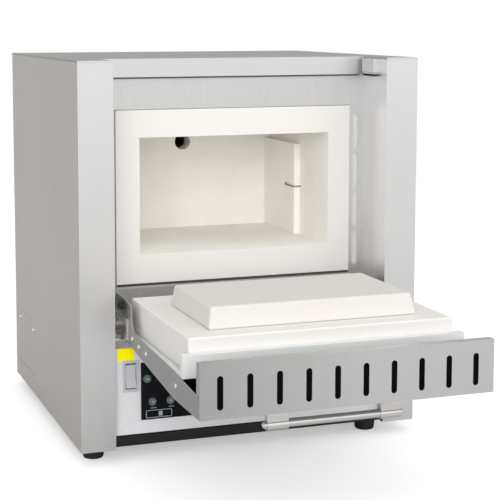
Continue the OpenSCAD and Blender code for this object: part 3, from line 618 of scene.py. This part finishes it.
def round_edges(bm, width, steps):
    paired = [e for e in bm.edges if len(e.link_faces) == 2]
    bmesh.ops.bevel(
        bm, geom=[e for e in paired if e.calc_face_angle(0.0) > SHARP_ANGLE],
        offset=width, offset_type="OFFSET", segments=steps, profile=0.5,
        affect="EDGES", clamp_overlap=True, material=-1, loop_slide=True,
    )


def finished(name, bm, body, material, replaces=(), smooth=True):
    """The bmesh becomes a piece that rides on a body."""
    mesh = bpy.data.meshes.new(name)
    bm.to_mesh(mesh)
    bm.free()
    if smooth:
        mesh.shade_smooth()
        mesh.set_sharp_from_angle(angle=SMOOTH_ANGLE)
    mesh.materials.append(MATERIALS[material])
    made = bpy.data.objects.new(name, mesh)
    bpy.context.scene.collection.objects.link(made)
    if smooth:
        weighted = made.modifiers.new("flat_faces", "WEIGHTED_NORMAL")
        weighted.keep_sharp = True
        weighted.weight = FLAT_FACE_WEIGHT
    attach(made, body)
    if replaces:
        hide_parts(*replaces)
    return made


def stands_for(node, bm, material):
    """The bmesh becomes the piece that replaces a node."""
    return finished(node + "_finished", bm, node_body(node), material, (node,))


def softened(node, material, width, steps=None):
    """The node again, with its sharp edges rounded as folding and moulding leave them."""
    bm = clean_copy(node)
    if width:
        round_edges(bm, width, steps or sizes().edge_steps)
    return stands_for(node, bm, material)


def carried(node, material):
    """The CAD node itself, with a finished material."""
    made = frame["nodes"][node]
    if made.material_slots:
        for holder in made.material_slots:
            holder.material = MATERIALS[material]
    else:
        made.data.materials.append(MATERIALS[material])


def block(bm, low, high):
    """A box between two corners in metres."""
    low, high = Vector(low), Vector(high)
    place_at = Matrix.Translation((low + high) / 2) @ Matrix.Diagonal((*(high - low), 1.0))
    bmesh.ops.create_cube(bm, size=1.0, matrix=place_at)


def islands(bm):
    """Groups of vertices that hang together, always in the same order."""
    seen, found = set(), []
    for first in bm.verts:
        if first in seen:
            continue
        seen.add(first)
        group = [first]
        for vert in group:
            for edge in vert.link_edges:
                other = edge.other_vert(vert)
                if other not in seen:
                    seen.add(other)
                    group.append(other)
        found.append(group)
    return found


# Proportions of a screw head: widths go with its radius, heights with its height.
HEAD_TAPER = 0.84
HEAD_ROUNDING = 0.32
RECESS_LENGTH, RECESS_WIDTH = 0.46, 0.12
RECESS_TAPER = 0.8
RECESS_DEPTH = 0.5


def cross_head(bm, centre, axis, radius, height):
    """A pan head with a cross recess, standing on centre and facing along axis."""
    head = bmesh.new()
    bmesh.ops.create_cone(
        head, cap_ends=True, segments=24, radius1=radius, radius2=radius * HEAD_TAPER,
        depth=height,
    )
    bmesh.ops.translate(head, verts=head.verts, vec=(0.0, 0.0, height / 2))
    upper = [e for e in head.edges if min(v.co.z for v in e.verts) > height / 2]
    bmesh.ops.bevel(
        head, geom=upper, offset=height * HEAD_ROUNDING, offset_type="OFFSET", segments=3,
        profile=0.5, affect="EDGES", material=-1,
    )
    top = max(head.faces, key=lambda f: f.calc_center_median().z)
    rim = list(top.edges)
    bmesh.ops.delete(head, geom=[top], context="FACES_ONLY")
    arms = bmesh.ops.create_circle(head, segments=12, radius=1.0)["verts"]
    long, slim = radius * RECESS_LENGTH, radius * RECESS_WIDTH
    for number, vert in enumerate(arms):
        x, y = ((long, -slim), (long, slim), (slim, slim))[number % 3]
        quarter = Matrix.Rotation(math.pi / 2 * (number // 3), 3, "Z")
        vert.co = quarter @ Vector((x, y, height))
    outline = list(dict.fromkeys(e for v in arms for e in v.link_edges))
    sunk = bmesh.ops.extrude_edge_only(head, edges=outline)["geom"]
    low = [v for v in sunk if isinstance(v, bmesh.types.BMVert)]
    bmesh.ops.scale(head, verts=low, vec=(RECESS_TAPER, RECESS_TAPER, 1.0))
    bmesh.ops.translate(head, verts=low, vec=(0.0, 0.0, -height * RECESS_DEPTH))
    floor = [e for e in sunk if isinstance(e, bmesh.types.BMEdge)]
    bmesh.ops.contextual_create(head, geom=floor)
    bmesh.ops.triangle_fill(head, use_beauty=True, edges=rim + outline)
    bmesh.ops.recalc_face_normals(head, faces=head.faces)
    turn = Vector((0, 0, 1)).rotation_difference(axis).to_matrix().to_4x4()
    bmesh.ops.transform(head, matrix=Matrix.Translation(centre) @ turn, verts=head.verts)
    held = bpy.data.meshes.new("head")
    head.to_mesh(held)
    head.free()
    bm.from_mesh(held)
    bpy.data.meshes.remove(held)


def screw_heads(node, material):
    """Every screw of a node again, with a cross recess in its head."""
    source = clean_copy(node)
    bm = bmesh.new()
    for group in islands(source):
        low, high = corners([v.co for v in group])
        span, middle = high - low, (low + high) / 2
        along = min(range(3), key=lambda i: span[i])
        below, above = (
            max((v.co - middle).length for v in group if (v.co[along] > middle[along]) == side)
            for side in (False, True)
        )
        axis = Vector((0.0, 0.0, 0.0))
        axis[along] = 1.0 if above < below else -1.0
        foot = middle.copy()
        foot[along] = low[along] if axis[along] > 0 else high[along]
        cross_head(bm, foot, axis, max(span) / 2, span[along])
    source.free()
    return stands_for(node, bm, material)


# How far printed marks stand out and reach in, and how wide a key's mark is on its key.
PRINT_PROUD, PRINT_SUNK = 0.06 * MM, 0.01 * MM
KEY_MARK_PROUD, KEY_MARK_DEPTH = 0.02 * MM, 0.08 * MM
ARROW_SHARE, DOT_SHARE = 0.22, 0.14


class KilnOperator:
    bl_options = {"REGISTER", "UNDO"}


class KILN_OT_materials(KilnOperator, bpy.types.Operator):
    """Make the kiln's materials"""

    bl_idname = "kiln.materials"
    bl_label = "Materials"

    def execute(self, context):
        make_materials()
        return {"FINISHED"}


class KILN_OT_housing(KilnOperator, bpy.types.Operator):
    """Finish the folded sheets of the housing"""

    bl_idname = "kiln.housing"
    bl_label = "Housing"

    def execute(self, context):
        s = sizes()
        softened("left_side_panel", "housing_sheet", s.sheet_edge)
        softened("right_side_panel", "right_sheet_painted_light", s.sheet_edge)
        softened("top_cover", "lid_sheet_painted_light_and_shade", s.lid_edge)
        softened("access_cover", "housing_sheet", s.thin_edge)
        softened("base_pan", "base_sheet_painted_shade", s.thin_edge)
        carried("rear_panel", "housing_sheet")
        for node in ("face_plate", "bay_shelf", "inner_casing"):
            carried(node, "inner_sheet")
        softened("feet", "black_rubber", s.foot_edge)
        self.painted_shadow_strips()
        self.sensor_painted_shadow()
        return {"FINISHED"}

    def painted_shadow_strips(self):
        """Dark strips of painted shadow on the face plate, in the gaps under the lid's fold and
        under the collar.
        """
        plate = node_box("face_plate")[0].y
        left = node_box("left_side_panel")[1].x
        lid = node_box("top_cover")[0].z
        sensor = node_box("door_sensor")[0].x
        low, high = node_box("collar_bottom")
        rear = plate - 0.2 * MM
        bm = bmesh.new()
        block(
            bm, (left + 1.0 * MM, plate - 2.8 * MM, lid - 1.6 * MM),
            (sensor - 0.5 * MM, rear, lid - 0.1 * MM),
        )
        block(
            bm, (low.x + 0.5 * MM, low.y + 0.2 * MM, low.z - 2.6 * MM),
            (high.x - 0.5 * MM, rear, low.z - 0.3 * MM),
        )
        finished("painted_shadow_strips", bm, "housing", "painted_shadow_grey", smooth=False)

    def sensor_painted_shadow(self):
        """A black strip of painted shadow along the underside of the door sensor, where its slot
        lies in shade.
        """
        low, high = node_box("door_sensor")
        side, proud = 1.0 * MM, 0.2 * MM
        bm = bmesh.new()
        block(
            bm, (low.x + side, low.y - proud, low.z - proud),
            (high.x - side, high.y - 0.5 * MM, low.z + 2.0 * MM),
        )
        # painted shadow: the slot under the sensor, drawn in the black rubber material
        finished("sensor_painted_shadow", bm, "housing", "black_rubber", smooth=False)


class KILN_OT_insulation(KilnOperator, bpy.types.Operator):
    """Finish the boards around the chamber"""

    bl_idname = "kiln.insulation"
    bl_label = "Insulation"

    def execute(self, context):
        for node in ("collar_top", "collar_bottom", "collar_sides"):
            softened(node, "collar_board", sizes().collar_edge)
        for node in ("chamber_floor", "chamber_roof"):
            softened(node, "hot_board", sizes().chamber_edge)
        for node in ("chamber_sides", "chamber_rear"):
            carried(node, "hot_board")
        for node in ("backing_floor", "backing_roof", "backing_sides", "backing_rear"):
            carried(node, "backing_board")
        return {"FINISHED"}


class KILN_OT_heating(KilnOperator, bpy.types.Operator):
    """Finish the heating plates, leads, exhaust and probe"""

    bl_idname = "kiln.heating"
    bl_label = "Heating"

    def execute(self, context):
        softened("heating_plates", "heating_plate", sizes().plate_edge)
        for node, material in (
            ("heating_wires", "tinted_wire"), ("plate_staples", "tinted_wire"),
            ("element_leads", "zinc_plate"), ("thermocouple", "tube_ceramic"),
            ("exhaust_tube", "sooty_ceramic"), ("exhaust_stack", "inner_sheet"),
        ):
            softened(node, material, 0.0)
        return {"FINISHED"}


class KILN_OT_controls(KilnOperator, bpy.types.Operator):
    """Finish the fascia, display, keys and rocker"""

    bl_idname = "kiln.controls"
    bl_label = "Controls"

    def execute(self, context):
        s = sizes()
        softened("control_fascia", "fascia_paint", s.moulded_edge)
        softened("display_window", "window_gloss", s.thin_edge)
        softened("rocker_frame", "rocker_moulding", s.thin_edge)
        softened("mains_rocker", "rocker_moulding", s.moulded_edge)
        softened("marker_plate", "marker_paint", s.marker_edge)
        for node in ("program_key", "down_key", "up_key"):
            softened(node, "key_moulding", s.thin_edge)
        self.window_marks()
        self.display_bars()
        self.key_marks()
        for node, material in (
            ("controller_box", "black_moulding"), ("solid_state_relay", "black_moulding"),
            ("contactor", "black_moulding"), ("heat_sink", "alloy"),
            ("terminal_block", "light_moulding"), ("mains_inlet", "black_moulding"),
            ("fuse_holders", "black_moulding"), ("door_sensor", "sensor_paint"),
        ):
            softened(node, material, s.thin_edge)
        return {"FINISHED"}

    def print_on_window(self, bm, low, high):
        """A printed patch, between corners in millimetres from the window's lower left."""
        window = node_box("display_window")[0]
        block(
            bm, (window.x + low[0] * MM, window.y - PRINT_PROUD, window.z + low[1] * MM),
            (window.x + high[0] * MM, window.y + PRINT_SUNK, window.z + high[1] * MM),
        )

    def window_marks(self):
        """A printed frame with a filled centre, and short rules."""
        bm = bmesh.new()
        line, (xa, za), (xb, zb) = 0.7, (5.0, 1.5), (34.0, 10.0)
        self.print_on_window(bm, (xa, za), (xb, za + line))
        self.print_on_window(bm, (xa, zb - line), (xb, zb))
        self.print_on_window(bm, (xa, za), (xa + line, zb))
        self.print_on_window(bm, (xb - line, za), (xb, zb))
        self.print_on_window(bm, (19.0, 3.1), (23.5, 8.3))
        for x in (10.5, 30.5):
            self.print_on_window(bm, (x, 11.9), (x + 6.0, 12.7))
        for number in range(5):
            x = 65.0 + 20.0 * number
            self.print_on_window(bm, (x, 5.5), (x + 9.0, 6.5))
        finished("window_marks", bm, "housing", "mark_grey", smooth=False)

    def display_bars(self):
        """Four unlit digits of seven bars each."""
        bm = bmesh.new()
        width, height, bar, inset, gap = 10.0, 20.0, 1.4, 1.0, 0.4
        first, pitch, foot = 77.0, 18.0, 28.5
        halves = ((inset, height / 2 - gap), (height / 2 + gap, height - inset))
        for number in range(4):
            x = first + pitch * number
            for z in (0.0, (height - bar) / 2, height - bar):
                low, high = (x + inset, foot + z), (x + width - inset, foot + z + bar)
                self.print_on_window(bm, low, high)
            for bottom, top in halves:
                for side in (x, x + width - bar):
                    self.print_on_window(bm, (side, foot + bottom), (side + bar, foot + top))
        finished("display_bars", bm, "housing", "display_bar", smooth=False)

    def key_marks(self):
        """A small arrow or dot on each key."""
        for node, kind in (("program_key", 0), ("down_key", -1), ("up_key", 1)):
            low, high = node_box(node)
            centre = Vector(((low.x + high.x) / 2, low.y - KEY_MARK_PROUD, (low.z + high.z) / 2))
            reach = (high.x - low.x) * (ARROW_SHARE if kind else DOT_SHARE)
            bm = bmesh.new()
            bmesh.ops.create_cone(
                bm, cap_ends=True, segments=3 if kind else 20,
                radius1=reach, radius2=reach, depth=KEY_MARK_DEPTH,
            )
            point = Matrix.Rotation(math.pi if kind < 0 else 0.0, 4, "Z")
            aim = Matrix.Rotation(math.pi / 2, 4, "X") @ point
            bmesh.ops.transform(bm, matrix=Matrix.Translation(centre) @ aim, verts=bm.verts)
            finished(node + "_mark", bm, node_body(node), "mark_grey", smooth=False)


class KILN_OT_door(KilnOperator, bpy.types.Operator):
    """Finish the flap door and its hinge"""

    bl_idname = "kiln.door"
    bl_label = "Door"

    def execute(self, context):
        s = sizes()
        softened("door_pan", "door_sheet_painted_shade", s.pan_edge)
        softened("vent_strip", "strip_sheet_painted_shade", s.pan_edge)
        softened("inner_tray", "tray_paint", s.thin_edge)
        softened("door_block", "block_board", s.block_edge, s.board_steps)
        softened("door_plug", "plug_board", s.plug_edge, s.board_steps)
        softened("lever_plates", "bright_steel", s.sheet_edge)
        softened("hinge_bushes", "zinc_plate", s.bush_edge)
        softened("lever_bumpers", "black_rubber", s.moulded_edge)
        softened("hinge_pins", "bright_steel", s.thin_edge)
        softened("stop_pins", "zinc_plate", s.thin_edge)
        softened("handle_bar", "bright_steel", 0.0)
        softened("handle_brackets", "bright_steel", s.bracket_edge)
        softened("door_rivets", "bright_steel", s.thin_edge)
        screw_heads("panel_screws", "bright_steel")
        self.strip_shadow_sheets()
        return {"FINISHED"}

    def strip_shadow_sheets(self):
        """Black sheets of painted shadow behind the slotted strip and on the floor of its fold."""
        low, high = node_box("vent_strip")
        bm = bmesh.new()
        side = 2.6 * MM
        block(
            bm, (low.x + side, low.y + 1.6 * MM, low.z + 2.4 * MM),
            (high.x - side, low.y + 2.1 * MM, high.z - 2.8 * MM),
        )
        side = 5.0 * MM
        block(
            bm, (low.x + side, low.y + 3.0 * MM, low.z + 1.7 * MM),
            (high.x - side, low.y + 42.0 * MM, low.z + 2.1 * MM),
        )
        finished("strip_shadow_sheets", bm, "door", "strip_shadow_black", smooth=False)


# ---------------------------------------------------------------- stage
CAMERA_PLACE = (-0.51001, -1.5289, 0.46549)
CAMERA_YAW, CAMERA_PITCH, CAMERA_ROLL = (math.radians(a) for a in (19.0, 6.103, -0.026))
CAMERA_SHIFT = (0.07, -0.17)
SENSOR_WIDTH = 36.0
VIEW_LIMIT = 50.0
FLOOR_REAR = 2.0
FLOOR_MOTTLE = 3.0
FLOOR_GLOW = 0.42
WHITE = (1.0, 1.0, 1.0, 1.0)
WALL_TINT = (1.0, 0.995, 0.985, 1.0)
WALL_GRADE = (-0.35, 0.45)
FRONT_SOFTBOX = {
    "place_at": (-0.9, -2.6, 0.95), "aim": (0.0, -0.1, 0.25), "width": 1.6, "height": 1.2,
}
SIDE_SOFTBOX = {
    "place_at": (1.9, -1.7, 1.1), "aim": (0.1, -0.1, 0.2), "width": 1.2, "height": 1.2,
}


class KILN_OT_stage(KilnOperator, bpy.types.Operator):
    """Set up the floor, the lights and the camera"""

    bl_idname = "kiln.stage"
    bl_label = "Stage"

    def execute(self, context):
        s = stage_settings()
        scene = context.scene
        self.floor(s)
        self.surroundings(s)
        self.softbox("front_softbox", s.key_power, **FRONT_SOFTBOX)
        self.softbox("side_softbox", s.side_power, **SIDE_SOFTBOX)
        scene.view_settings.view_transform = "Standard"
        scene.camera = self.camera(s)
        return {"FINISHED"}

    def camera(self, s):
        data = bpy.data.cameras.new("studio_camera")
        data.lens = s.lens
        data.sensor_width = SENSOR_WIDTH
        data.shift_x, data.shift_y = CAMERA_SHIFT
        data.clip_end = VIEW_LIMIT
        camera = bpy.data.objects.new("studio_camera", data)
        bpy.context.scene.collection.objects.link(camera)
        level = math.cos(CAMERA_PITCH)
        ahead = Vector((
            math.sin(CAMERA_YAW) * level, math.cos(CAMERA_YAW) * level, -math.sin(CAMERA_PITCH),
        ))
        across = ahead.cross(Vector((0, 0, 1))).normalized()
        up = across.cross(ahead)
        right = across * math.cos(CAMERA_ROLL) + up * math.sin(CAMERA_ROLL)
        top = up * math.cos(CAMERA_ROLL) - across * math.sin(CAMERA_ROLL)
        turn = Matrix((right, top, -ahead)).transposed().to_4x4()
        camera.matrix_world = Matrix.Translation(Vector(CAMERA_PLACE)) @ turn
        return camera

    def floor(self, s):
        bm = bmesh.new()
        bmesh.ops.create_grid(bm, x_segments=4, y_segments=4, size=s.floor_size)
        bmesh.ops.translate(bm, verts=bm.verts, vec=(0.0, FLOOR_REAR - s.floor_size, 0.0))
        mesh = bpy.data.meshes.new("studio_floor")
        bm.to_mesh(mesh)
        bm.free()
        material, t, shader, vector = new_material("studio_floor")
        mottle = t.noise(vector, FLOOR_MOTTLE)
        tone = t.mix(mottle, (0.60, 0.595, 0.59), (0.64, 0.635, 0.63))
        t.join(tone, shader.inputs["Base Color"])
        shader.inputs["Roughness"].default_value = 0.9
        pale = t.node("ShaderNodeBsdfPrincipled")
        t.join(t.mix(mottle, (0.80, 0.80, 0.80), (0.82, 0.82, 0.82)), pale.inputs["Base Color"])
        pale.inputs["Roughness"].default_value = 0.95
        pale.inputs["Emission Color"].default_value = WHITE
        pale.inputs["Emission Strength"].default_value = FLOOR_GLOW
        surface = t.tree.nodes["Material Output"].inputs["Surface"]
        self.seen_as(t, shader.outputs[0], pale.outputs[0], surface)
        mesh.materials.append(material)
        made = bpy.data.objects.new("studio_floor", mesh)
        bpy.context.scene.collection.objects.link(made)

    def seen_as(self, t, lit, seen, surface):
        """The camera meets one shader and every other ray the other."""
        both = t.node("ShaderNodeMixShader")
        t.join(t.node("ShaderNodeLightPath").outputs["Is Camera Ray"], both.inputs[0])
        t.join(lit, both.inputs[1])
        t.join(seen, both.inputs[2])
        t.join(both.outputs[0], surface)

    def surroundings(self, s):
        """White behind the kiln, and a soft light that is stronger in front of it."""
        world = bpy.data.worlds.new("studio")
        world.use_nodes = True
        t = Tree(world.node_tree)
        soft = world.node_tree.nodes["Background"]
        around = t.split(t.node("ShaderNodeTexCoord").outputs["Generated"])
        side = t.node("ShaderNodeMapRange", interpolation_type="SMOOTHSTEP")
        grade = (around["Y"], *WALL_GRADE, s.front_light, s.rear_light)
        for socket, value in zip(side.inputs, grade):
            t.feed(socket, value)
        soft.inputs["Color"].default_value = WALL_TINT
        t.join(side.outputs[0], soft.inputs["Strength"])
        white = t.node("ShaderNodeBackground")
        white.inputs["Color"].default_value = WHITE
        white.inputs["Strength"].default_value = 1.0
        surface = world.node_tree.nodes["World Output"].inputs["Surface"]
        self.seen_as(t, soft.outputs[0], white.outputs[0], surface)
        bpy.context.scene.world = world

    def softbox(self, name, power, place_at, aim, width, height):
        """A soft light that shows neither to the camera nor in reflections."""
        data = bpy.data.lights.new(name, "AREA")
        data.shape = "RECTANGLE"
        data.size = width
        data.size_y = height
        data.energy = power
        made = bpy.data.objects.new(name, data)
        bpy.context.scene.collection.objects.link(made)
        made.location = place_at
        towards = Vector(aim) - Vector(place_at)
        made.rotation_euler = towards.to_track_quat("-Z", "Y").to_euler()
        made.visible_camera = False
        made.visible_glossy = False


# ---------------------------------------------------------------- panel
OPERATORS = (
    KILN_OT_materials, KILN_OT_housing, KILN_OT_insulation, KILN_OT_heating,
    KILN_OT_controls, KILN_OT_door, KILN_OT_stage,
)


class KILN_PT_panel(bpy.types.Panel):
    """Kiln pieces and settings"""

    bl_idname = "KILN_PT_panel"
    bl_label = "Kiln"
    bl_space_type = "VIEW_3D"
    bl_region_type = "UI"
    bl_category = "Kiln"

    def draw(self, context):
        for group in (finishes(), sizes(), stage_settings()):
            box = self.layout.box()
            for key in group.bl_rna.properties.keys():
                if key not in ("rna_type", "name"):
                    box.prop(group, key)
        for operator in OPERATORS:
            self.layout.operator(operator.bl_idname)


CLASSES = (KilnFinish, KilnSizes, KilnStage, *OPERATORS, KILN_PT_panel)


def register():
    for cls in CLASSES:
        bpy.utils.register_class(cls)
    bpy.types.Scene.kiln_finish = PointerProperty(type=KilnFinish)
    bpy.types.Scene.kiln_sizes = PointerProperty(type=KilnSizes)
    bpy.types.Scene.kiln_stage = PointerProperty(type=KilnStage)


def unregister():
    del bpy.types.Scene.kiln_stage
    del bpy.types.Scene.kiln_sizes
    del bpy.types.Scene.kiln_finish
    for cls in reversed(CLASSES):
        bpy.utils.unregister_class(cls)


def main():
    register()
    for operator in OPERATORS:
        group, name = operator.bl_idname.split(".")
        getattr(getattr(bpy.ops, group), name)()


if __name__ == "__main__":
    main()
